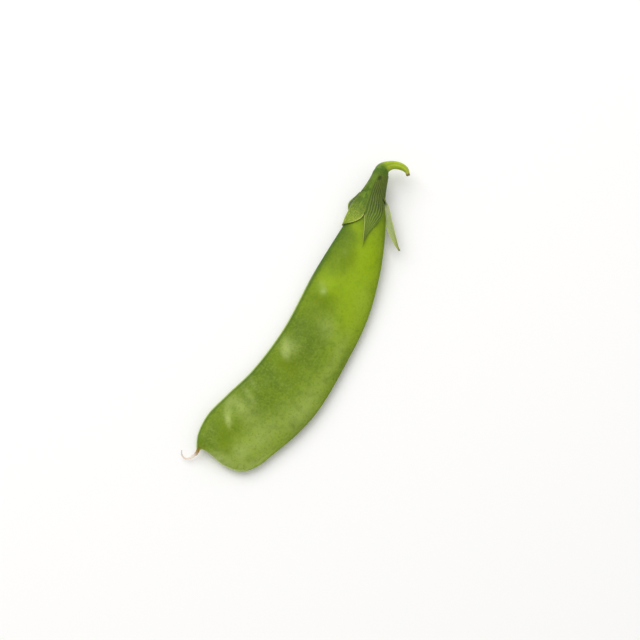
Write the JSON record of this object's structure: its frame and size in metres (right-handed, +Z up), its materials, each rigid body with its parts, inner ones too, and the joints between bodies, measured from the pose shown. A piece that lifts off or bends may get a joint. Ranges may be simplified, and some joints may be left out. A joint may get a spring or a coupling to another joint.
{
  "type": "snow pea pod",
  "caption": "Flat, gently curved snow pea pod with faint pea swells, a green pointed calyx, a hooked stalk and a dry curled style, lying on its side.",
  "frame": {"origin": "on the surface, under the middle of the whole pod's box", "axes": "+X from the beak towards the stalk, +Y towards the upper seam that carries the peas, +Z up, square to the broad side it lies on"},
  "size_m": [0.1006, 0.0264, 0.0073],
  "materials": {
    "pod_skin": "satin, waxy, finely mottled",
    "calyx": "matte, veined, with pale thin margins",
    "stalk": "satin, finely ribbed, dry at the cut end",
    "dry_style": "matte, papery"
  },
  "bodies": {
    "root": {"pod": "pod_skin", "calyx_cup": "calyx", "lobe_side_front": "calyx", "lobe_side_back": "calyx", "lobe_upper_front": "calyx", "lobe_upper_back": "calyx", "lobe_lower": "calyx", "stalk": "stalk", "dry_style": "dry_style"}
  },
  "joints": []
}
